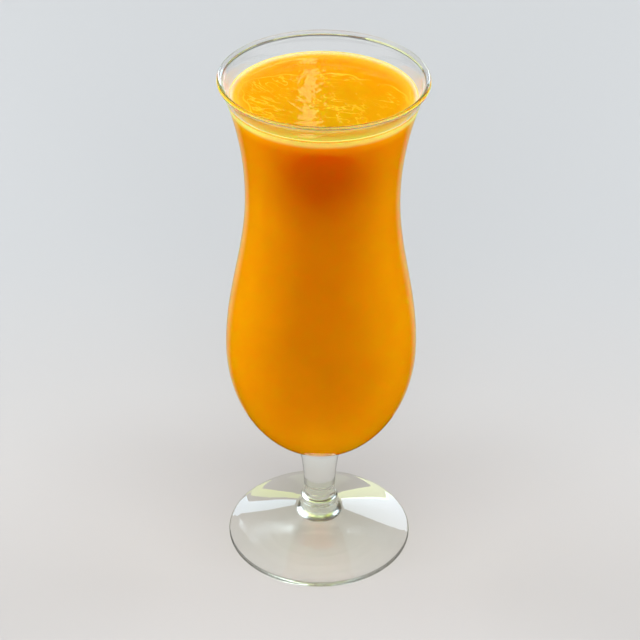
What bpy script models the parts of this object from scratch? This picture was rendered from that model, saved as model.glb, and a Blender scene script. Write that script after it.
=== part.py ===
# A mango lassi in its stemmed hurricane glass.
# Metres, +Z up. The foot stands on z = 0 and everything is turned about the Z axis.

import math
import random

import bmesh
import bpy

# Bowl of the glass, outside: a half-ellipse bulb, a belly that narrows to a waist, a flared mouth
TOTAL_HEIGHT = 0.206
RIM_RADIUS = 0.0380
RIM_BEAD_RADIUS = 0.00092
FLARE_ARC_RADIUS = 0.132
WAIST_HEIGHT = 0.158
WAIST_RADIUS = 0.0285
BELLY_HEIGHT = 0.092
BELLY_RADIUS = 0.0364
BULB_DEPTH = 0.0476

# Thickness of the glass
WALL_AT_RIM = 0.00145
WALL_AT_BELLY = 0.0018
FLOOR_THICKNESS = 0.0040

# Stem, which swells into the bulb at its top and stands in a collar on the foot.
# A handle is how far a curve keeps to its end direction before it bends away.
STEM_RADIUS = 0.0062
STEM_BASE_HEIGHT = 0.0205
STEM_HANDLE = 0.0125
BULB_JOIN_RADIUS = 0.0120
BULB_JOIN_HANDLE = 0.0050
COLLAR_HEIGHT = 0.0180
COLLAR_RADIUS = 0.0074
COLLAR_BEAD_RADIUS = 0.0016

# Foot: a shallow cone with a round edge, hollowed a little underneath inside a flat ring
FOOT_RADIUS = 0.0365
FOOT_EDGE_THICKNESS = 0.0022
FOOT_RING_RADIUS = 0.0290
FOOT_HOLLOW_HEIGHT = 0.0012
FOOT_FLARE_RADIUS = 0.0100
FOOT_FLARE_HEIGHT = 0.0115
FOOT_FLARE_HANDLE = 0.0015
FOOT_NECK_RADIUS = 0.0072
FOOT_NECK_HANDLE = 0.0025
FOOT_NECK_SPREAD = 0.0003

# The drink: its level, the rim of foam that climbs the glass, and the low lumps of pulp on top
LEVEL = 0.1981
FOAM_RIM_RISE = 0.0011
FOAM_RIM_REACH = 0.0011
PULP_SEED = 7
PULP_LUMPS = 60
PULP_WIDTHS = (0.0018, 0.0042)
PULP_HEIGHTS = (0.00001, 0.00004)
GAP = 0.0003

# Facets: around the axis, and along each stretch of the outlines
SEGMENTS = 48
BULB_STEPS = 9
BODY_STEPS = 9
FLARE_STEPS = 7
STEM_STEPS = 9
BEAD_STEPS = 9
SURFACE_RINGS = 14
RING_CROWDING = 1.3

GLASS_COLOUR = (0.93, 0.96, 0.90)
LASSI_COLOUR = (0.88, 0.38, 0.01)


def arc(centre, radius, start_degrees, end_degrees, steps):
    points = []
    for step in range(steps + 1):
        angle = math.radians(start_degrees + (end_degrees - start_degrees) * step / steps)
        points.append((centre[0] + radius * math.cos(angle), centre[1] + radius * math.sin(angle)))
    return points


def curve(start, start_handle, end_handle, end, steps):
    points = []
    for step in range(steps + 1):
        t = step / steps
        weights = ((1 - t) ** 3, 3 * t * (1 - t) ** 2, 3 * t * t * (1 - t), t ** 3)
        corners = (start, start_handle, end_handle, end)
        points.append(tuple(sum(w * c[axis] for w, c in zip(weights, corners)) for axis in (0, 1)))
    return points


def spread(low, high, steps):
    return [low + (high - low) * step / steps for step in range(steps + 1)]


# Outer radius of the bowl from the belly up to the mouth
def outer_radius(height):
    if height > WAIST_HEIGHT:
        rise = height - WAIST_HEIGHT
        return WAIST_RADIUS + FLARE_ARC_RADIUS - math.sqrt(FLARE_ARC_RADIUS ** 2 - rise ** 2)
    turn = math.pi * (height - BELLY_HEIGHT) / (WAIST_HEIGHT - BELLY_HEIGHT)
    middle = (BELLY_RADIUS + WAIST_RADIUS) / 2
    swing = (BELLY_RADIUS - WAIST_RADIUS) / 2
    return middle + swing * math.cos(turn)


def wall_thickness(height):
    share = (height - BELLY_HEIGHT) / (TOTAL_HEIGHT - BELLY_HEIGHT)
    return WALL_AT_BELLY + (WALL_AT_RIM - WALL_AT_BELLY) * share


def inner_radius(height):
    return outer_radius(height) - wall_thickness(height)


# Heights from above the belly up to a given top
def body_heights(top):
    return spread(BELLY_HEIGHT, WAIST_HEIGHT, BODY_STEPS)[1:] + spread(WAIST_HEIGHT, top, FLARE_STEPS)[1:]


# Half-ellipse under the belly, from a start radius out to the belly, as (radius, height)
def bulb_outline(radius, depth, start_radius):
    start = math.asin(start_radius / radius)
    points = []
    for turn in spread(start, math.pi / 2, BULB_STEPS):
        points.append((radius * math.sin(turn), BELLY_HEIGHT - depth * math.cos(turn)))
    return points


# Inside of the bowl from its floor at the axis up to a height, drawn in by a clearance
def inside_outline(top, clearance):
    bulb = bulb_outline(BELLY_RADIUS - WALL_AT_BELLY - clearance,
                        BULB_DEPTH - FLOOR_THICKNESS - clearance, 0.0)
    heights = body_heights(top)
    return bulb + [(inner_radius(height) - clearance, height) for height in heights]


def foot_outline():
    edge = FOOT_EDGE_THICKNESS / 2
    hollow = [(FOOT_RING_RADIUS * share, FOOT_HOLLOW_HEIGHT * (1 - share ** 2)) for share in spread(0, 1, 3)]
    round_edge = arc((FOOT_RADIUS - edge, edge), edge, -90, 90, 6)
    slope = (FOOT_FLARE_HEIGHT - FOOT_EDGE_THICKNESS) / (FOOT_RADIUS - edge - FOOT_FLARE_RADIUS)
    neck_height = COLLAR_HEIGHT - COLLAR_BEAD_RADIUS
    flare = curve((FOOT_FLARE_RADIUS, FOOT_FLARE_HEIGHT),
                  (FOOT_FLARE_RADIUS - FOOT_FLARE_HANDLE, FOOT_FLARE_HEIGHT + FOOT_FLARE_HANDLE * slope),
                  (FOOT_NECK_RADIUS + FOOT_NECK_SPREAD, neck_height - FOOT_NECK_HANDLE),
                  (FOOT_NECK_RADIUS, neck_height), 8)
    return hollow + round_edge + flare


def stem_outline():
    collar = arc((COLLAR_RADIUS - COLLAR_BEAD_RADIUS, COLLAR_HEIGHT), COLLAR_BEAD_RADIUS, -20, 75, 5)
    join = bulb_outline(BELLY_RADIUS, BULB_DEPTH, BULB_JOIN_RADIUS)[0]
    share = BULB_JOIN_RADIUS / BELLY_RADIUS
    tilt = math.atan(BULB_DEPTH / BELLY_RADIUS * share / math.sqrt(1 - share ** 2))
    join_handle = (join[0] - BULB_JOIN_HANDLE * math.cos(tilt), join[1] - BULB_JOIN_HANDLE * math.sin(tilt))
    shaft = curve((STEM_RADIUS, STEM_BASE_HEIGHT), (STEM_RADIUS, STEM_BASE_HEIGHT + STEM_HANDLE),
                  join_handle, join, STEM_STEPS)
    return collar + shaft


def rim_outline():
    centre = (RIM_RADIUS - RIM_BEAD_RADIUS, TOTAL_HEIGHT - RIM_BEAD_RADIUS)
    return arc(centre, RIM_BEAD_RADIUS, -90, 180, BEAD_STEPS)


# The whole section, from under the foot up the outside, over the rim and down the inside
def glass_outline():
    bulb = bulb_outline(BELLY_RADIUS, BULB_DEPTH, BULB_JOIN_RADIUS)[1:]
    rim = rim_outline()
    bowl = [(outer_radius(height), height) for height in body_heights(rim[0][1])[:-1]]
    inside = inside_outline(rim[-1][1], 0.0)
    return foot_outline() + stem_outline() + bulb + bowl + rim + inside[-2::-1]


# Turns an outline that starts and ends on the Z axis into one closed body
def turned_mesh(name, outline):
    bm = bmesh.new()
    verts = [bm.verts.new((radius, 0.0, height)) for radius, height in outline]
    edges = [bm.edges.new(pair) for pair in zip(verts, verts[1:])]
    bmesh.ops.spin(bm, geom=verts + edges, cent=(0, 0, 0), axis=(0, 0, 1), angle=math.tau,
                   steps=SEGMENTS, use_merge=True, use_duplicate=False)
    bmesh.ops.remove_doubles(bm, verts=bm.verts, dist=0.000001)
    bmesh.ops.recalc_face_normals(bm, faces=bm.faces)
    return finished_mesh(name, bm)


def finished_mesh(name, bm):
    mesh = bpy.data.meshes.new(name)
    bm.to_mesh(mesh)
    bm.free()
    mesh.shade_smooth()
    return mesh


def add_object(name, mesh, material):
    mesh.materials.append(material)
    piece = bpy.data.objects.new(name, mesh)
    bpy.context.scene.collection.objects.link(piece)
    return piece


def make_material(name, colour, roughness, transmission=0.0):
    material = bpy.data.materials.new(name)
    material.use_nodes = True
    shader = material.node_tree.nodes["Principled BSDF"]
    shader.inputs["Base Color"].default_value = (*colour, 1.0)
    shader.inputs["Roughness"].default_value = roughness
    shader.inputs["Metallic"].default_value = 0.0
    shader.inputs["Transmission Weight"].default_value = transmission
    return material


# Seeded lumps of pulp and foam, as (x, y, width, height)
def pulp_lumps(edge_radius):
    dice = random.Random(PULP_SEED)
    lumps = []
    for _ in range(PULP_LUMPS):
        distance = edge_radius * math.sqrt(dice.random())
        angle = dice.uniform(0, math.tau)
        width = dice.uniform(*PULP_WIDTHS)
        height = dice.uniform(*PULP_HEIGHTS)
        lumps.append((distance * math.cos(angle), distance * math.sin(angle), width, height))
    return lumps


def surface_height(x, y, edge_radius, lumps):
    inset = edge_radius - math.hypot(x, y)
    foam_rim = FOAM_RIM_RISE * math.exp(-inset / FOAM_RIM_REACH)
    fade = 1 - math.exp(-(inset / FOAM_RIM_REACH) ** 2)
    pulp = sum(height * math.exp(-((x - lump_x) ** 2 + (y - lump_y) ** 2) / width ** 2)
               for lump_x, lump_y, width, height in lumps)
    return LEVEL + foam_rim + fade * pulp


# The drink follows the inside of the glass up to the foam rim, and its top is a low lumpy skin
def lassi_mesh():
    side = inside_outline(LEVEL + FOAM_RIM_RISE, GAP)
    edge_radius, edge_height = side[-1]
    ring_shares = [1 - share ** RING_CROWDING for share in spread(0, 1, SURFACE_RINGS)[1:]]
    top = [(edge_radius * share, edge_height) for share in ring_shares]
    mesh = turned_mesh("lassi", side + top)
    lumps = pulp_lumps(edge_radius)
    for vertex in mesh.vertices:
        inside_edge = math.hypot(vertex.co.x, vertex.co.y) < edge_radius - GAP
        if inside_edge and vertex.co.z > LEVEL:
            vertex.co.z = surface_height(vertex.co.x, vertex.co.y, edge_radius, lumps)
    return mesh


def clear_scene():
    for old in list(bpy.data.objects):
        bpy.data.objects.remove(old, do_unlink=True)


clear_scene()
add_object("glass", turned_mesh("glass", glass_outline()),
           make_material("clear_glass", GLASS_COLOUR, 0.02, transmission=1.0))
add_object("lassi", lassi_mesh(), make_material("mango_lassi", LASSI_COLOUR, 0.25))
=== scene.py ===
import math
import random
import bmesh
import bpy
from mathutils import Matrix, Vector, noise


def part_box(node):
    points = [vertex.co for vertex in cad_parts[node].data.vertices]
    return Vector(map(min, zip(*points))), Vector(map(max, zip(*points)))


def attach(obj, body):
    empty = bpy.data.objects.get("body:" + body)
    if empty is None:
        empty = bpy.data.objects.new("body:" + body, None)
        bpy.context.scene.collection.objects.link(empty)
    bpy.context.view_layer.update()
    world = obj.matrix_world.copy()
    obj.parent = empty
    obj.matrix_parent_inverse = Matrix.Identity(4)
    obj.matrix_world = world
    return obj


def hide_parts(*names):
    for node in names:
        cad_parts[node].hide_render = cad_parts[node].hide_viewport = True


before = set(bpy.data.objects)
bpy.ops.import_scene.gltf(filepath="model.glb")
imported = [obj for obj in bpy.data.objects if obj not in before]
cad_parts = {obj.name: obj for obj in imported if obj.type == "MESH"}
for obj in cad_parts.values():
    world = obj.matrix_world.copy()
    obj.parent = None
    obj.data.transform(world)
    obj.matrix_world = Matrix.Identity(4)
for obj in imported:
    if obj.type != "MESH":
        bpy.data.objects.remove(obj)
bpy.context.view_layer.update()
glassLow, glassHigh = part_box("glass")
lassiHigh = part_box("lassi")[1]
mm = 0.001
print("frame loaded:", sorted(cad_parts))


def addObject(name, data):
    added = bpy.data.objects.new(name, data)
    bpy.context.scene.collection.objects.link(added)
    return added


def finishMesh(name, bm):
    mesh = bpy.data.meshes.new(name)
    bm.to_mesh(mesh)
    bm.free()
    return mesh


viewSet = {
    "place": (0.0, -0.6687, 0.5516),
    "downDegrees": 33.894,
    "turnDegrees": 0.042,
    "rollDegrees": 0.60,
    "focalPixels": 2116,     # for an image 640 pixels wide
    "imagePixels": 640,
    "sensorWidth": 36.0,
    "nearClip": 10 * mm,
}


def addCamera():
    data = bpy.data.cameras.new("lassiCamera")
    data.sensor_width = viewSet["sensorWidth"]
    data.lens = viewSet["focalPixels"] * viewSet["sensorWidth"] / viewSet["imagePixels"]
    data.clip_start = viewSet["nearClip"]
    camera = addObject("lassiCamera", data)
    turn = Matrix.Rotation(math.radians(viewSet["turnDegrees"]), 4, "Z")
    tilt = Matrix.Rotation(math.radians(90 - viewSet["downDegrees"]), 4, "X")
    roll = Matrix.Rotation(math.radians(viewSet["rollDegrees"]), 4, "Z")
    camera.matrix_world = Matrix.Translation(viewSet["place"]) @ turn @ tilt @ roll
    bpy.context.scene.camera = camera
    bpy.context.scene.view_settings.view_transform = "Standard"


def newMaterial(name):
    material = bpy.data.materials.new(name)
    material.use_nodes = True
    return material, material.node_tree


def setInputs(node, values):
    for name, value in values.items():
        node.inputs[name].default_value = value


# A socket takes a link, a colour or a number
def feed(tree, socket, value):
    if isinstance(value, bpy.types.NodeSocket):
        tree.links.new(value, socket)
    elif isinstance(value, tuple):
        socket.default_value = (*value, 1)
    else:
        socket.default_value = value


def placeNodes(tree, kind="Object"):
    place = tree.nodes.new("ShaderNodeTexCoord").outputs[kind]
    split = tree.nodes.new("ShaderNodeSeparateXYZ")
    tree.links.new(place, split.inputs["Vector"])
    return place, *split.outputs


def mathNode(tree, operation, *values):
    node = tree.nodes.new("ShaderNodeMath")
    node.operation = operation
    for socket, value in zip(node.inputs, values):
        feed(tree, socket, value)
    return node.outputs[0]


def lengthNode(tree, x, y):
    squares = [mathNode(tree, "MULTIPLY", side, side) for side in (x, y)]
    return mathNode(tree, "SQRT", mathNode(tree, "ADD", *squares))


def rangeNode(tree, value, low, high, toLow=0.0, toHigh=1.0, kind="SMOOTHSTEP"):
    node = tree.nodes.new("ShaderNodeMapRange")
    node.interpolation_type = kind
    setInputs(node, {"From Min": low, "From Max": high, "To Min": toLow, "To Max": toHigh})
    tree.links.new(value, node.inputs["Value"])
    return node.outputs["Result"]


# A range whose two ends are measured from a base, such as a level or an edge
def rangeFrom(tree, value, base, ends, *results):
    return rangeNode(tree, value, base + ends[0], base + ends[1], *results)


def blendNode(tree, factor, first, second):
    node = tree.nodes.new("ShaderNodeMix")
    node.data_type = "RGBA"
    feed(tree, node.inputs["Factor"], factor)
    feed(tree, node.inputs[6], first)      # sockets 6 and 7 take the two colours
    feed(tree, node.inputs[7], second)
    return node.outputs[2]


def noiseNode(tree, place, scale, detail):
    node = tree.nodes.new("ShaderNodeTexNoise")
    setInputs(node, {"Scale": scale, "Detail": detail})
    tree.links.new(place, node.inputs["Vector"])
    return node.outputs["Fac"]


def bumpNode(tree, height, strength, distance):
    node = tree.nodes.new("ShaderNodeBump")
    setInputs(node, {"Strength": strength, "Distance": distance})
    tree.links.new(height, node.inputs["Height"])
    return node.outputs["Normal"]


def glow(tree, colour):
    node = tree.nodes.new("ShaderNodeEmission")
    node.inputs["Color"].default_value = (*colour, 1)
    return node.outputs[0]


def mixShaders(tree, factor, first, second):
    node = tree.nodes.new("ShaderNodeMixShader")
    tree.links.new(factor, node.inputs["Fac"])
    tree.links.new(first, node.inputs[1])
    tree.links.new(second, node.inputs[2])
    return node.outputs[0]


floorSet = {
    "reach": 5.0,
    "nearEdge": -0.24,      # in front of it the floor throws no light back
    "colour": (0.509, 0.504, 0.501),
    # further back the floor is painted darker and bluer: painted shade for how the light falls there
    "shadedFarColour": (0.458, 0.477, 0.494),
    "farRange": (-0.05, 0.25),      # where one colour fades into the other
    "roughness": 0.8,
    "specular": 0.1,
}


def addPlane(name, low, high, height):
    bm = bmesh.new()
    bmesh.ops.create_grid(bm, x_segments=1, y_segments=1, size=0.5)
    bmesh.ops.scale(bm, vec=(high[0] - low[0], high[1] - low[1], 1), verts=bm.verts)
    bmesh.ops.translate(bm, vec=((low[0] + high[0]) / 2, (low[1] + high[1]) / 2, height), verts=bm.verts)
    return addObject(name, finishMesh(name, bm))


def makeCloth():
    material, tree = newMaterial("paleCloth")
    shader = tree.nodes["Principled BSDF"]
    setInputs(shader, {"Roughness": floorSet["roughness"], "Specular IOR Level": floorSet["specular"]})
    y = placeNodes(tree)[2]
    # the floor darkens further back as painted shade
    farShade = rangeNode(tree, y, *floorSet["farRange"])
    colour = blendNode(tree, farShade, floorSet["colour"], floorSet["shadedFarColour"])
    tree.links.new(colour, shader.inputs["Base Color"])
    return material


def addFloor():
    material = makeCloth()
    reach, nearEdge = floorSet["reach"], floorSet["nearEdge"]
    backFloor = addPlane("floor", (-reach, nearEdge), (reach, reach), glassLow.z)
    frontFloor = addPlane("floorFront", (-reach, -reach), (reach, nearEdge), glassLow.z)
    frontFloor.visible_diffuse = False
    for plane in (backFloor, frontFloor):
        plane.visible_glossy = False
        plane.data.materials.append(material)


lampSet = {
    # name: (place, aim, width, height, watts, colour)
    "ceilingSoftbox": ((0, -0.17, 1.20), (0, -0.03, 0.1), 1.0, 0.2, 6.9, (1.0, 1.0, 1.0)),
    "frontSoftbox": ((0, -0.50, 1.15), (0, 0, 0.1), 1.2, 0.3, 2.1, (1.0, 1.0, 1.0)),
    "lowSoftbox": ((0, -1.05, 0.80), (0, 0, 0.1), 0.8, 0.3, 5.0, (1.0, 1.0, 1.0)),
    "rearSoftbox": ((0, 1.10, 0.45), (0, 0, 0.12), 1.2, 0.4, 6.4, (1.0, 1.0, 1.0)),
    "leftSoftbox": ((-0.93, 0.30, 0.35), (0, 0, 0.12), 0.6, 0.6, 11.2, (1.0, 1.0, 1.0)),
    "rightSoftbox": ((0.93, 0.30, 0.35), (0, 0, 0.12), 0.6, 0.6, 9.6, (1.0, 1.0, 1.0)),
    "bounceSoftbox": ((0, -0.07, 0.003), (0, -0.07, 1.0), 0.16, 0.04, 0.05, (1.0, 1.0, 1.0)),
    "leftWindow": ((-0.56, 1.40, 0.55), (0, 0, 0.1), 0.26, 0.28, 0.95, (0.66, 0.84, 1.0)),
    "rightWindow": ((0.60, 1.40, 0.62), (0, 0, 0.1), 0.50, 0.60, 4.6, (0.74, 0.87, 1.0)),
    "leftGarden": ((-0.33, 1.40, 0.25), (0, 0, 0.1), 0.24, 0.15, 0.22, (0.80, 1.0, 0.15)),
    "middleGarden": ((-0.04, 1.40, 0.24), (0, 0, 0.1), 0.20, 0.20, 0.22, (0.80, 1.0, 0.50)),
    "rightGarden": ((0.31, 1.40, 0.225), (0, 0, 0.1), 0.40, 0.21, 0.68, (0.86, 1.0, 0.45)),
    "slimStrip": ((-0.016, 1.40, 1.005), (0, 0, 0.198), 0.018, 0.23, 0.062, (1.0, 0.98, 0.48)),
}


# Softboxes give the light and don't show. The others only show, in the glass and on the wet top.
def addLamps():
    for name, (place, aim, width, height, watts, colour) in lampSet.items():
        data = bpy.data.lights.new(name, "AREA")
        data.shape = "RECTANGLE"
        data.size = width
        data.size_y = height
        data.energy = watts
        data.color = colour
        lamp = addObject(name, data)
        facing = (Vector(aim) - Vector(place)).to_track_quat("-Z", "Y")
        lamp.matrix_world = Matrix.Translation(place) @ facing.to_matrix().to_4x4()
        shown = "Softbox" not in name
        lamp.visible_camera = False
        lamp.visible_glossy = lamp.visible_transmission = shown
        lamp.visible_diffuse = not shown


cardSet = {
    # name: (inner radius, outer radius, place, the kind of ray that meets it)
    # bowlFlag keeps the pale cloth out of what the bowl mirrors, and rimShade shades the waist in front
    "bowlFlag": (9 * mm, 55 * mm, (0, 0, 21 * mm), "glossy"),
    "rimShade": (0.1 * mm, 20 * mm, (0, -56 * mm, 195.5 * mm), "shadow"),
}


# Black on both sides against lamps, and on its upper side alone for what mirrors it
def makeCardBlack(name, ray):
    material, tree = newMaterial(name)
    tree.nodes.clear()
    output = tree.nodes.new("ShaderNodeOutputMaterial")
    shown = glow(tree, (0, 0, 0))
    if ray == "glossy":
        below = tree.nodes.new("ShaderNodeNewGeometry").outputs["Backfacing"]
        through = tree.nodes.new("ShaderNodeBsdfTransparent").outputs[0]
        shown = mixShaders(tree, below, shown, through)
    tree.links.new(shown, output.inputs["Surface"])
    return material


def addCard(name):
    inner, outer, place, meets = cardSet[name]
    bm = bmesh.new()
    for radius in (inner, outer):
        bmesh.ops.create_circle(bm, segments=48, radius=radius)
    bmesh.ops.bridge_loops(bm, edges=bm.edges[:])
    bmesh.ops.translate(bm, vec=place, verts=bm.verts)
    bm.normal_update()
    if bm.faces[:][0].normal.z < 0:
        bmesh.ops.reverse_faces(bm, faces=bm.faces)
    card = addObject(name, finishMesh(name, bm))
    card.data.materials.append(makeCardBlack(name, meets))
    for ray in ("camera", "diffuse", "glossy", "transmission", "volume_scatter", "shadow"):
        setattr(card, "visible_" + ray, ray == meets)


worldSet = {
    # heights are sines of the angle above the horizon, and depths are how far back a ray points
    "backdrop": (0.70, 0.71, 0.73),
    "darkRoom": (0.10, 0.075, 0.055),
    "frontRoom": (0.12, 0.085, 0.07),
    "frontDepths": (-0.3, 0.3),
    "frontWindow": (0.90, 0.88, 0.92),      # low and wide, behind the camera
    "windowHeights": (0.34, 0.30),
    "ceiling": (0.90, 0.84, 0.74),
    "ceilingHeights": (0.66, 0.82),
    "clothReflected": (0.42, 0.47, 0.32),
    "clothDepths": (0.60, 0.78),
    "horizonHeights": (-0.02, 0.02),
}


# Soft light comes from the lamps alone. The room shows in and through the glass and on the wet top.
def addWorld():
    world = bpy.data.worlds.new("paleRoom")
    world.use_nodes = True
    tree = world.node_tree
    tree.nodes.clear()
    y, z = placeNodes(tree, "Generated")[2:]
    black = glow(tree, (0, 0, 0))
    backdrop = glow(tree, worldSet["backdrop"])
    window = rangeNode(tree, z, *worldSet["windowHeights"])
    front = mixShaders(tree, window, glow(tree, worldSet["frontRoom"]), glow(tree, worldSet["frontWindow"]))
    behind = rangeNode(tree, y, *worldSet["frontDepths"])
    room = mixShaders(tree, behind, front, glow(tree, worldSet["darkRoom"]))
    overhead = rangeNode(tree, z, *worldSet["ceilingHeights"])
    room = mixShaders(tree, overhead, room, glow(tree, worldSet["ceiling"]))
    backward = rangeNode(tree, y, *worldSet["clothDepths"])
    cloth = mixShaders(tree, backward, black, glow(tree, worldSet["clothReflected"]))
    above = rangeNode(tree, z, *worldSet["horizonHeights"])
    reflected = mixShaders(tree, above, cloth, room)
    refracted = mixShaders(tree, above, backdrop, room)
    path = tree.nodes.new("ShaderNodeLightPath")
    shaded = black
    for ray, seen in (("Is Glossy Ray", reflected), ("Is Transmission Ray", refracted),
                      ("Is Camera Ray", backdrop)):
        shaded = mixShaders(tree, path.outputs[ray], shaded, seen)
    output = tree.nodes.new("ShaderNodeOutputWorld")
    tree.links.new(shaded, output.inputs["Surface"])
    bpy.context.scene.world = world


# Outlines are lists of (radius, height) in metres
glassForm = {
    "flareArc": 132 * mm,
    "waistHeight": 158 * mm,
    "waistRadius": 28.5 * mm,
    "bellyHeight": 92 * mm,
    "bellyRadius": 36.4 * mm,
    "bulbDepth": 47.6 * mm,
    "rimBead": 0.92 * mm,
    "wallAtRim": 1.45 * mm,
    "wallAtBelly": 1.8 * mm,
    "floorThickness": 4.0 * mm,
    "stemRadius": 6.2 * mm,
    "stemBase": 20.5 * mm,
    "stemHandle": 12.5 * mm,      # a handle is how far a curve keeps to its end direction
    "bulbJoinRadius": 12.0 * mm,
    "bulbJoinHandle": 5.0 * mm,
    "collarHeight": 18.0 * mm,
    "collarRadius": 7.4 * mm,
    "collarBead": 1.6 * mm,
    "collarDegrees": (-20, 75),
    "footRadius": 36.5 * mm,
    "footEdge": 2.2 * mm,
    "footEdgeDegrees": (-90, 72),
    "footRing": 29.0 * mm,
    "footHollow": 1.2 * mm,
    "coneMargins": (0.4 * mm, 0.3 * mm),      # left at its outer and inner end, to soften the joins
    "flareRadius": 10.0 * mm,
    "flareHeight": 11.5 * mm,
    "flareHandle": 1.5 * mm,
    "neckRadius": 7.2 * mm,
    "neckHandle": 2.5 * mm,
    "neckSpread": 0.3 * mm,
    "pressRings": (20.6 * mm, 25.5 * mm),
    "pressRingDepth": 0.015 * mm,
    "pressRingWidth": 0.6 * mm,
    "segments": 160,
    "hollowSteps": 60,
    "footEdgeSteps": 14,
    "coneSteps": 8,
    "flareSteps": 24,
    "collarSteps": 12,
    "stemSteps": 30,
    "bulbSteps": 30,
    "bodySteps": 28,
    "rimSteps": 27,
}


def spread(low, high, steps):
    return [low + (high - low) * step / steps for step in range(steps + 1)]


def arc(centre, radius, startDegrees, endDegrees, steps):
    turns = [math.radians(turn) for turn in spread(startDegrees, endDegrees, steps)]
    return [(centre[0] + radius * math.cos(turn), centre[1] + radius * math.sin(turn)) for turn in turns]


def curve(start, startHandle, endHandle, end, steps):
    points = []
    corners = (start, startHandle, endHandle, end)
    for t in spread(0, 1, steps):
        weights = ((1 - t) ** 3, 3 * t * (1 - t) ** 2, 3 * t * t * (1 - t), t ** 3)
        points.append(tuple(sum(w * c[axis] for w, c in zip(weights, corners)) for axis in (0, 1)))
    return points


# Radius of the bowl above the belly
def outerRadius(height):
    form = glassForm
    if height > form["waistHeight"]:
        rise = height - form["waistHeight"]
        return form["waistRadius"] + form["flareArc"] - math.sqrt(form["flareArc"] ** 2 - rise ** 2)
    turn = math.pi * (height - form["bellyHeight"]) / (form["waistHeight"] - form["bellyHeight"])
    middle = (form["bellyRadius"] + form["waistRadius"]) / 2
    return middle + (form["bellyRadius"] - form["waistRadius"]) / 2 * math.cos(turn)


def innerRadius(height):
    share = (height - glassForm["bellyHeight"]) / (glassHigh.z - glassForm["bellyHeight"])
    wall = glassForm["wallAtBelly"] + (glassForm["wallAtRim"] - glassForm["wallAtBelly"]) * share
    return outerRadius(height) - wall


# Half-ellipse under the belly
def bulbOutline(radius, depth, startRadius, steps):
    turns = spread(math.asin(startRadius / radius), math.pi / 2, steps)
    return [(radius * math.sin(turn), glassForm["bellyHeight"] - depth * math.cos(turn)) for turn in turns]


def bodyHeights(top):
    waist, steps = glassForm["waistHeight"], glassForm["bodySteps"]
    return spread(glassForm["bellyHeight"], waist, steps)[1:] + spread(waist, top, steps)[1:]


# Inside of the bowl from its floor up to a height, drawn in by a clearance
def insideOutline(top, clearance):
    form = glassForm
    bulb = bulbOutline(form["bellyRadius"] - form["wallAtBelly"] - clearance,
                       form["bulbDepth"] - form["floorThickness"] - clearance, 0.0, form["bodySteps"])
    return bulb + [(innerRadius(height) - clearance, height) for height in bodyHeights(top)]


# Under the foot: a shallow hollow with the faint rings that the press leaves
def footUnderside(radius):
    form = glassForm
    height = form["footHollow"] * (1 - (radius / form["footRing"]) ** 2)
    for ring in form["pressRings"]:
        height += form["pressRingDepth"] * math.exp(-((radius - ring) / form["pressRingWidth"]) ** 2)
    return height


def footOutline():
    form = glassForm
    bead = form["footEdge"] / 2
    radii = spread(0, form["footRing"], form["hollowSteps"])[:-1]
    hollow = [(radius, footUnderside(radius)) for radius in radii] + [(form["footRing"], 0.0)]
    coneStart, coneEnd = form["footRadius"] - bead, form["flareRadius"]
    roundEdge = arc((coneStart, bead), bead, *form["footEdgeDegrees"], form["footEdgeSteps"])
    slope = (form["flareHeight"] - form["footEdge"]) / (coneStart - coneEnd)
    radii = spread(coneStart - form["coneMargins"][0], coneEnd + form["coneMargins"][1], form["coneSteps"])
    cone = [(radius, form["footEdge"] + (coneStart - radius) * slope) for radius in radii]
    neckHeight = form["collarHeight"] - form["collarBead"]
    handle = form["flareHandle"]
    flare = curve((coneEnd, form["flareHeight"]), (coneEnd - handle, form["flareHeight"] + handle * slope),
                  (form["neckRadius"] + form["neckSpread"], neckHeight - form["neckHandle"]),
                  (form["neckRadius"], neckHeight), form["flareSteps"])
    return hollow + roundEdge + cone + flare


def stemOutline():
    form = glassForm
    bead = form["collarBead"]
    collar = arc((form["collarRadius"] - bead, form["collarHeight"]), bead, *form["collarDegrees"],
                 form["collarSteps"])
    join = bulbOutline(form["bellyRadius"], form["bulbDepth"], form["bulbJoinRadius"], 1)[0]
    share = form["bulbJoinRadius"] / form["bellyRadius"]
    tilt = math.atan(form["bulbDepth"] / form["bellyRadius"] * share / math.sqrt(1 - share ** 2))
    handle = form["bulbJoinHandle"]
    shaft = curve((form["stemRadius"], form["stemBase"]),
                  (form["stemRadius"], form["stemBase"] + form["stemHandle"]),
                  (join[0] - handle * math.cos(tilt), join[1] - handle * math.sin(tilt)), join,
                  form["stemSteps"])
    return collar + shaft


# The whole section, from under the foot up the outside, over the rim and down the inside
def glassOutline():
    form = glassForm
    bead = form["rimBead"]
    rim = arc((glassHigh.x - bead, glassHigh.z - bead), bead, -90, 180, form["rimSteps"])
    bulb = bulbOutline(form["bellyRadius"], form["bulbDepth"], form["bulbJoinRadius"], form["bulbSteps"])
    bowl = [(outerRadius(height), height) for height in bodyHeights(rim[0][1])[:-1]]
    inside = insideOutline(rim[-1][1], 0.0)
    return footOutline() + stemOutline() + bulb[1:] + bowl + rim + inside[-2::-1]


# Turns an outline that starts and ends on the Z axis into a closed body
def spinOutline(name, outline, segments):
    bm = bmesh.new()
    verts = [bm.verts.new((radius, 0, height)) for radius, height in outline]
    edges = [bm.edges.new(pair) for pair in zip(verts, verts[1:])]
    bmesh.ops.spin(bm, geom=verts + edges, cent=(0, 0, 0), axis=(0, 0, 1), angle=math.tau,
                   steps=segments, use_merge=True, use_duplicate=False)
    bmesh.ops.remove_doubles(bm, verts=bm.verts, dist=0.001 * mm)
    bmesh.ops.recalc_face_normals(bm, faces=bm.faces)
    mesh = finishMesh(name, bm)
    mesh.shade_smooth()
    return mesh


def addPiece(name, mesh, material, slot, *nodes):
    mesh.materials.append(material)
    piece = addObject(name, mesh)
    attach(piece, "root")
    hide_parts(*nodes)


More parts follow.
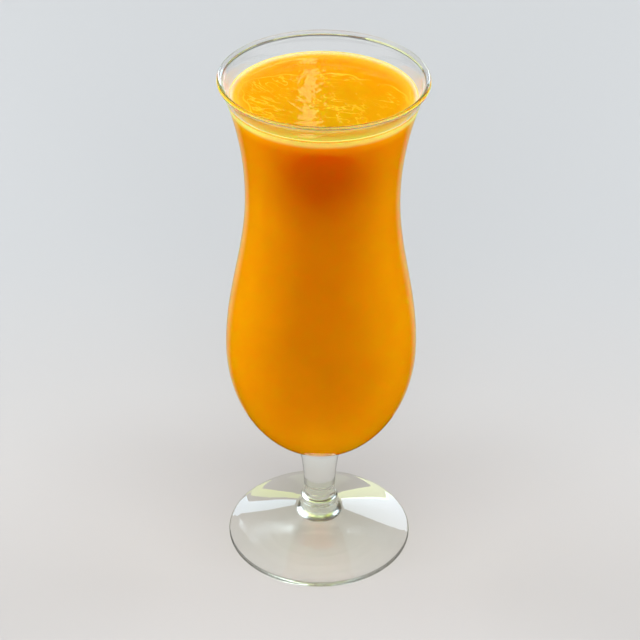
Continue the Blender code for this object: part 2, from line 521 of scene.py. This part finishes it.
glassLook = {
    "tint": (1.0, 0.995, 0.985),
    "ior": 1.51,
    "depthTint": (0.89, 0.94, 0.76),
    "depthDensity": 17.0,
    "waveSize": 45.0,
    "waveStrength": 0.12,
    "waveDepth": 1.0 * mm,
    "smearRange": (0.45, 0.75),      # of the waves, where the surface gets duller
    "smearRoughness": 0.02,
    "undersideRoughness": 0.15,      # where the foot was pressed and not polished
    "undersideHeights": (1.8 * mm, 1.4 * mm),
    "undersideReach": (2.0 * mm, 0.0),      # out past the ring that the foot stands on
}


def makeGlass():
    look = glassLook
    material, tree = newMaterial("clearGlass")
    shader = tree.nodes["Principled BSDF"]
    output = tree.nodes["Material Output"]
    setInputs(shader, {"Base Color": (*look["tint"], 1), "Metallic": 0.0, "Transmission Weight": 1.0,
                       "IOR": look["ior"]})
    place, x, y, z = placeNodes(tree)
    waves = noiseNode(tree, place, look["waveSize"], 1.0)
    wavy = bumpNode(tree, waves, look["waveStrength"], look["waveDepth"])
    tree.links.new(wavy, shader.inputs["Normal"])
    smears = rangeNode(tree, waves, *look["smearRange"], 0.0, look["smearRoughness"], "LINEAR")
    low = rangeNode(tree, z, *look["undersideHeights"], 0.0, look["undersideRoughness"])
    within = rangeFrom(tree, lengthNode(tree, x, y), glassForm["footRing"], look["undersideReach"])
    underside = mathNode(tree, "MULTIPLY", low, within)
    tree.links.new(mathNode(tree, "ADD", smears, underside), shader.inputs["Roughness"])
    # lamps and bounced light pass straight through, so the drink inside is lit
    path = tree.nodes.new("ShaderNodeLightPath")
    through = tree.nodes.new("ShaderNodeBsdfTransparent").outputs[0]
    surface = mixShaders(tree, path.outputs["Is Shadow Ray"], shader.outputs["BSDF"], through)
    surface = mixShaders(tree, path.outputs["Is Diffuse Ray"], surface, through)
    tree.links.new(surface, output.inputs["Surface"])
    depth = tree.nodes.new("ShaderNodeVolumeAbsorption")
    setInputs(depth, {"Color": (*look["depthTint"], 1), "Density": look["depthDensity"]})
    tree.links.new(depth.outputs["Volume"], output.inputs["Volume"])
    return material


def addGlass():
    mesh = spinOutline("hurricaneGlass", glassOutline(), glassForm["segments"])
    addPiece("hurricaneGlass", mesh, makeGlass(), "glass", "glass")


lassiForm = {
    "level": 198.1 * mm,
    "foamRise": 1.1 * mm,
    "foamReach": 1.1 * mm,
    "calmEdge": 5.0 * mm,
    "intoWall": 0.12 * mm,      # the drink wets the glass with no gap between them
    "pulpSeed": 7,
    "pulpLumps": 60,
    "pulpWidths": (1.8 * mm, 4.2 * mm),
    "pulpHeights": (0.002 * mm, 0.010 * mm),
    "rippleHeight": 0.012 * mm,
    "rippleSize": 3.0 * mm,
    "rippleFractal": (1.3, 2.1, 2),      # how fast finer ripples fade, how much finer, how many
    "twist": 55.0,           # radians per metre out from the axis, from stirring
    "bubbleSeed": 3,
    "bubbles": 7,
    "bubbleReach": 0.9,      # share of the top's radius that has them
    "bubbleCrowding": 0.7,      # 0.5 spreads them evenly, and more gathers them in the middle
    "bubbleRadii": (0.5 * mm, 1.6 * mm),
    "bubbleShrink": (0.5, 1.0),
    "bubbleHeight": 0.03 * mm,
    "bubbleRidge": 0.35 * mm,
    "segments": 360,
    "rings": 120,
}


def pulpLumps(edgeRadius):
    dice = random.Random(lassiForm["pulpSeed"])
    lumps = []
    for _ in range(lassiForm["pulpLumps"]):
        distance = edgeRadius * math.sqrt(dice.random())
        angle = dice.uniform(0, math.tau)
        width = dice.uniform(*lassiForm["pulpWidths"])
        height = dice.uniform(*lassiForm["pulpHeights"])
        lumps.append((distance * math.cos(angle), distance * math.sin(angle), width, height))
    return lumps


# Burst bubbles leave little round ridges
def bubbleRings(edgeRadius):
    dice = random.Random(lassiForm["bubbleSeed"])
    rings = []
    for _ in range(lassiForm["bubbles"]):
        distance = edgeRadius * lassiForm["bubbleReach"] * dice.random() ** lassiForm["bubbleCrowding"]
        angle = dice.uniform(0, math.tau)
        radius = dice.uniform(*lassiForm["bubbleRadii"]) * dice.uniform(*lassiForm["bubbleShrink"])
        rings.append((distance * math.cos(angle), distance * math.sin(angle), radius))
    return rings


# Ripples drawn out into arcs by stirring
def rippleHeight(x, y):
    turn = lassiForm["twist"] * math.hypot(x, y)
    stirred = Matrix.Rotation(turn, 3, "Z") @ Vector((x, y, 0)) / lassiForm["rippleSize"]
    return lassiForm["rippleHeight"] * noise.fractal(stirred, *lassiForm["rippleFractal"])


def surfaceHeight(x, y, edgeRadius, lumps, rings):
    inset = max(edgeRadius - math.hypot(x, y), 0.0)
    foam = lassiForm["foamRise"] * math.exp(-inset / lassiForm["foamReach"])
    fade = 1 - math.exp(-(inset / lassiForm["calmEdge"]) ** 4)
    pulp = sum(height * math.exp(-((x - lumpX) ** 2 + (y - lumpY) ** 2) / width ** 2)
               for lumpX, lumpY, width, height in lumps)
    bubble = 0.0
    for ringX, ringY, radius in rings:
        offset = (math.hypot(x - ringX, y - ringY) - radius) / lassiForm["bubbleRidge"]
        if abs(offset) < 3:      # past that the ridge is flat
            bubble += lassiForm["bubbleHeight"] * math.exp(-offset ** 2)
    return lassiForm["level"] + foam + fade * (pulp + bubble + rippleHeight(x, y))


# The drink fills the inside of the glass, and its top is a skin with low relief
def lassiMesh():
    top = lassiForm["level"] + lassiForm["foamRise"]
    side = insideOutline(top, -lassiForm["intoWall"])
    edgeRadius = side[-1][0]
    surface = [(edgeRadius * share, top) for share in spread(1, 0, lassiForm["rings"])[1:]]
    mesh = spinOutline("mangoLassi", side + surface, lassiForm["segments"])
    lumps = pulpLumps(edgeRadius)
    rings = bubbleRings(edgeRadius)
    for vertex in mesh.vertices:
        x, y, z = vertex.co
        onSurface = z > top - 0.01 * mm
        insideEdge = math.hypot(x, y) < edgeRadius - 0.1 * mm
        if onSurface and insideEdge:
            vertex.co.z = surfaceHeight(x, y, edgeRadius, lumps, rings)
    return mesh


lassiLook = {
    "deep": (0.66, 0.285, 0.001),
    "bright": (0.757, 0.37, 0.0015),
    # the top has its own yellower tone, painted darker as shade against the strong light falling on it
    "shadedTopDeep": (0.555, 0.262, 0.0004),
    "shadedTopBright": (0.635, 0.33, 0.0006),
    "topHeights": (-0.3 * mm, 0.0),      # from the level
    "cloudSize": 60.0,
    "roughness": 0.5,
    "scatterReach": (1.6, 0.08, 0.02),
    "scatterScale": 50 * mm,
    "wetIor": 1.36,
    "gloss": 0.5,
    "glossRoughness": 0.025,
    # the thin skin on top is a wavy oval: skinRange and skinLine are shares of its half width
    "skinHalfWidth": 28.5 * mm,
    "skinHalfDepth": 20.0 * mm,
    "skinMiddle": -2.0 * mm,
    "skinWaves": 45.0,
    "skinSway": 0.8,
    "skinRange": (1.02, 0.94),
    "skinLine": (0.020, 0.004),
    "skinLineClouds": (0.36, 0.60),
    "skinLineShare": 0.8,
    "streaks": (0.80, 0.50, 0.02),
    "streakSize": 330.0,
    "streakTwist": 20.0,
    "streakStretch": (0.5, 1.0, 1.0),
    "streakLine": (0.045, 0.0),
    "streakClouds": (0.44, 0.62),
    "streakBump": 0.35,
    "streakDepth": 0.2 * mm,
    # foam and painted light near the edge: heights are measured from the level, and reaches from the edge
    # where the drink meets the glass
    # the pale band is thin froth, made paler still as painted light where the edge catches light from above
    # and in front
    "litFrothBand": (1.0, 0.90, 0.26),
    "litFrothBandHeights": (-3.2 * mm, -1.2 * mm),
    # the yellow fringe is painted light, for light that comes in through the top
    "litFringe": (0.88, 0.52, 0.004),
    "litFringeHeights": (-7.0 * mm, -1.8 * mm),
    "shore": (0.64, 0.475, 0.025),
    "shoreReach": (-7.0 * mm, -0.3 * mm),
    # the lip is pale froth, painted darker as shade against the strong light falling on it
    "shadedLipInside": (0.57, 0.44, 0.30),
    "lipInsideHeights": (0.12 * mm, 0.6 * mm),
    "shadedLipTop": (0.45, 0.40, 0.40),
    "lipTopHeights": (0.5 * mm, 1.1 * mm),
    "shadedLipOutside": (0.68, 0.30, 0.04),
    "lipOutsideHeights": (-0.2 * mm, 0.5 * mm),
    "outsideReach": (-0.30 * mm, -0.15 * mm),
    "glossReach": (-0.4 * mm, -1.2 * mm),
    "wallLean": 0.32,      # how fast the wall flares at the level
}


# Inside a wavy line the top carries a thin skin with pale streaks, a little turned by stirring
def skinStreaks(tree, place, x, y, clouds):
    look = lassiLook
    across = mathNode(tree, "DIVIDE", x, look["skinHalfWidth"])
    along = mathNode(tree, "SUBTRACT", y, look["skinMiddle"])
    along = mathNode(tree, "DIVIDE", along, look["skinHalfDepth"])
    waves = mathNode(tree, "SUBTRACT", noiseNode(tree, place, look["skinWaves"], 2.0), 0.5)
    sway = mathNode(tree, "MULTIPLY", waves, look["skinSway"])
    skin = mathNode(tree, "ADD", lengthNode(tree, across, along), sway)
    inSkin = rangeNode(tree, skin, *look["skinRange"])
    fromLine = mathNode(tree, "ABSOLUTE", mathNode(tree, "SUBTRACT", skin, 1.0))
    skinLine = rangeNode(tree, fromLine, *look["skinLine"])
    shown = rangeNode(tree, clouds, *look["skinLineClouds"], 0.0, look["skinLineShare"])
    skinLine = mathNode(tree, "MULTIPLY", skinLine, shown)
    stir = tree.nodes.new("ShaderNodeVectorRotate")
    stir.rotation_type = "Z_AXIS"
    tree.links.new(place, stir.inputs["Vector"])
    turn = mathNode(tree, "MULTIPLY", lengthNode(tree, x, y), look["streakTwist"])
    tree.links.new(turn, stir.inputs["Angle"])
    stretch = tree.nodes.new("ShaderNodeMapping")
    stretch.inputs["Scale"].default_value = look["streakStretch"]
    tree.links.new(stir.outputs["Vector"], stretch.inputs["Vector"])
    bands = noiseNode(tree, stretch.outputs["Vector"], look["streakSize"], 2.0)
    fold = mathNode(tree, "ABSOLUTE", mathNode(tree, "SUBTRACT", bands, 0.5))
    lines = rangeNode(tree, fold, *look["streakLine"])
    patches = rangeNode(tree, clouds, *look["streakClouds"])
    streaks = mathNode(tree, "MULTIPLY", mathNode(tree, "MULTIPLY", lines, patches), inSkin)
    return mathNode(tree, "MAXIMUM", streaks, skinLine)


# Where the drink meets the glass: a yellow shore round the top; under the level a pale band of froth, made
# paler as painted light, over a yellow fringe of painted light; and a pale lip of froth where it climbs the
# wall, painted darker as shade
def addFoam(tree, colour, radius, z, onTop, edge):
    look = lassiLook
    level = lassiForm["level"]
    shore = mathNode(tree, "MULTIPLY", rangeFrom(tree, radius, edge, look["shoreReach"]), onTop)
    colour = blendNode(tree, shore, colour, look["shore"])
    lean = mathNode(tree, "SUBTRACT", radius, mathNode(tree, "MULTIPLY", z, look["wallLean"]))
    outside = rangeFrom(tree, lean, edge - lassiHigh.z * look["wallLean"], look["outsideReach"])
    # under the level: the fringe is painted light, and the band is froth made paler as painted light
    for layer in ("litFringe", "litFrothBand"):
        depth = rangeFrom(tree, z, level, look[layer + "Heights"])
        colour = blendNode(tree, mathNode(tree, "MULTIPLY", depth, outside), colour, look[layer])
    # the lip's froth colours are painted darker: painted shade
    upper = rangeFrom(tree, z, level, look["lipTopHeights"])
    shadedLip = blendNode(tree, upper, look["shadedLipInside"], look["shadedLipTop"])
    inner = blendNode(tree, rangeFrom(tree, z, level, look["lipInsideHeights"]), colour, shadedLip)
    over = rangeFrom(tree, z, level, look["lipOutsideHeights"])
    outer = blendNode(tree, over, colour, look["shadedLipOutside"])
    return blendNode(tree, outside, inner, outer)


def makeLassi():
    look = lassiLook
    material, tree = newMaterial("mangoYoghurt")
    shader = tree.nodes["Principled BSDF"]
    setInputs(shader, {"Roughness": look["roughness"], "Specular IOR Level": 0.0,
                       "Subsurface Weight": 1.0, "Subsurface Radius": look["scatterReach"],
                       "Subsurface Scale": look["scatterScale"],
                       "Coat IOR": look["wetIor"], "Coat Roughness": look["glossRoughness"]})
    place, x, y, z = placeNodes(tree)
    radius = lengthNode(tree, x, y)
    edge = innerRadius(lassiHigh.z) + lassiForm["intoWall"]
    clouds = noiseNode(tree, place, look["cloudSize"], 4.0)
    onTop = rangeFrom(tree, z, lassiForm["level"], look["topHeights"])
    # on top the drink takes its darker copy: painted shade
    body = blendNode(tree, onTop, blendNode(tree, clouds, look["deep"], look["bright"]),
                     blendNode(tree, clouds, look["shadedTopDeep"], look["shadedTopBright"]))
    streaks = mathNode(tree, "MULTIPLY", skinStreaks(tree, place, x, y, clouds), onTop)
    colour = addFoam(tree, blendNode(tree, streaks, body, look["streaks"]), radius, z, onTop, edge)
    tree.links.new(colour, shader.inputs["Base Color"])
    gloss = rangeFrom(tree, radius, edge, look["glossReach"], 0.0, look["gloss"])
    tree.links.new(mathNode(tree, "MULTIPLY", onTop, gloss), shader.inputs["Coat Weight"])
    raised = bumpNode(tree, streaks, look["streakBump"], look["streakDepth"])
    tree.links.new(raised, shader.inputs["Coat Normal"])
    return material


def addLassi():
    addPiece("mangoLassi", lassiMesh(), makeLassi(), "lassi", "lassi")


addCamera()
addFloor()
addLamps()
addWorld()
for cardName in cardSet:
    addCard(cardName)
print("camera, floor and lamps in place")
addGlass()
print("glass turned")
addLassi()
print("drink poured")
